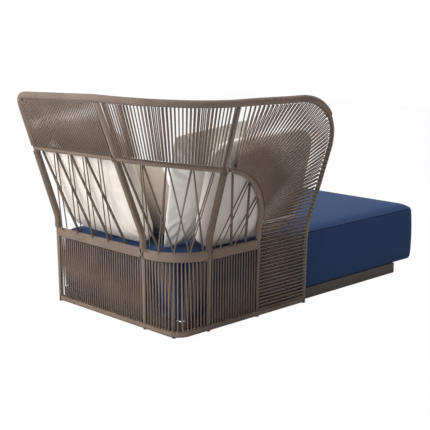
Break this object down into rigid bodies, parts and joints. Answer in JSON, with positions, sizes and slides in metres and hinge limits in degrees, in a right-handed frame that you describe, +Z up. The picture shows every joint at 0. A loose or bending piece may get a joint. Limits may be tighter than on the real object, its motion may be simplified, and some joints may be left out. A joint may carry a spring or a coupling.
{
  "type": "rope sunbed",
  "caption": "Upholstered outdoor sunbed on a low plinth, with a tall rope-wound tube shell round the head end and one side, and loose back cushions.",
  "frame": {"origin": "middle of the footprint of the whole sunbed, on the floor", "axes": "+Z up, +Y towards the head end, +X towards the open long side"},
  "size_m": [1.1386, 2.0465, 1.069],
  "materials": {
    "frame_metal": "satin",
    "rope": "matte",
    "dark_plastic": "matte",
    "screw_steel": "satin",
    "plinth_wood": "satin",
    "inner_wood": "matte",
    "foam": "matte",
    "navy_cloth": "matte",
    "cream_cloth": "matte",
    "tan_cloth": "matte",
    "white_cloth": "matte"
  },
  "bodies": {
    "root": {"floor_ring_tube": "frame_metal", "floor_ring_rope": "rope", "floor_pads": "dark_plastic", "end_glides": "dark_plastic", "outline_tube": "frame_metal", "back_corner_post": "frame_metal", "side_corner_post": "frame_metal", "arch_tube": "frame_metal", "seat_bar_back": "frame_metal", "seat_bar_corner": "frame_metal", "seat_bar_side": "frame_metal", "seat_band_rope_back": "rope", "seat_band_rope_corner": "rope", "seat_band_rope_side": "rope", "mid_rod_back": "frame_metal", "mid_rod_corner": "frame_metal", "mid_rope_back": "rope", "mid_rope_corner": "rope", "arch_rope": "rope", "top_rail_rope": "rope", "post_ropes": "rope", "post_bindings": "rope", "base_cords_back": "rope", "base_cords_corner": "rope", "base_cords_side": "rope", "wing_front_cords": "rope", "lacing_back": "rope", "lacing_corner": "rope", "lacing_side": "rope", "upper_cords_back": "rope", "upper_cords_corner": "rope", "wing_fan_cords": "rope", "plinth_left_board": "plinth_wood", "plinth_right_board": "plinth_wood", "plinth_head_board": "plinth_wood", "plinth_foot_board": "plinth_wood", "shell_brackets": "frame_metal", "bracket_screws": "screw_steel", "base_left_board": "inner_wood", "base_right_board": "inner_wood", "base_head_board": "inner_wood", "base_foot_board": "inner_wood", "base_floor_panel": "inner_wood", "centre_beam": "inner_wood", "deck_slats": "inner_wood", "side_foam": "foam", "mattress_foam": "foam", "base_cover": "navy_cloth", "back_cushion": "cream_cloth", "side_cushion": "cream_cloth", "tan_pillow": "tan_cloth", "white_pillow": "white_cloth"}
  },
  "joints": []
}
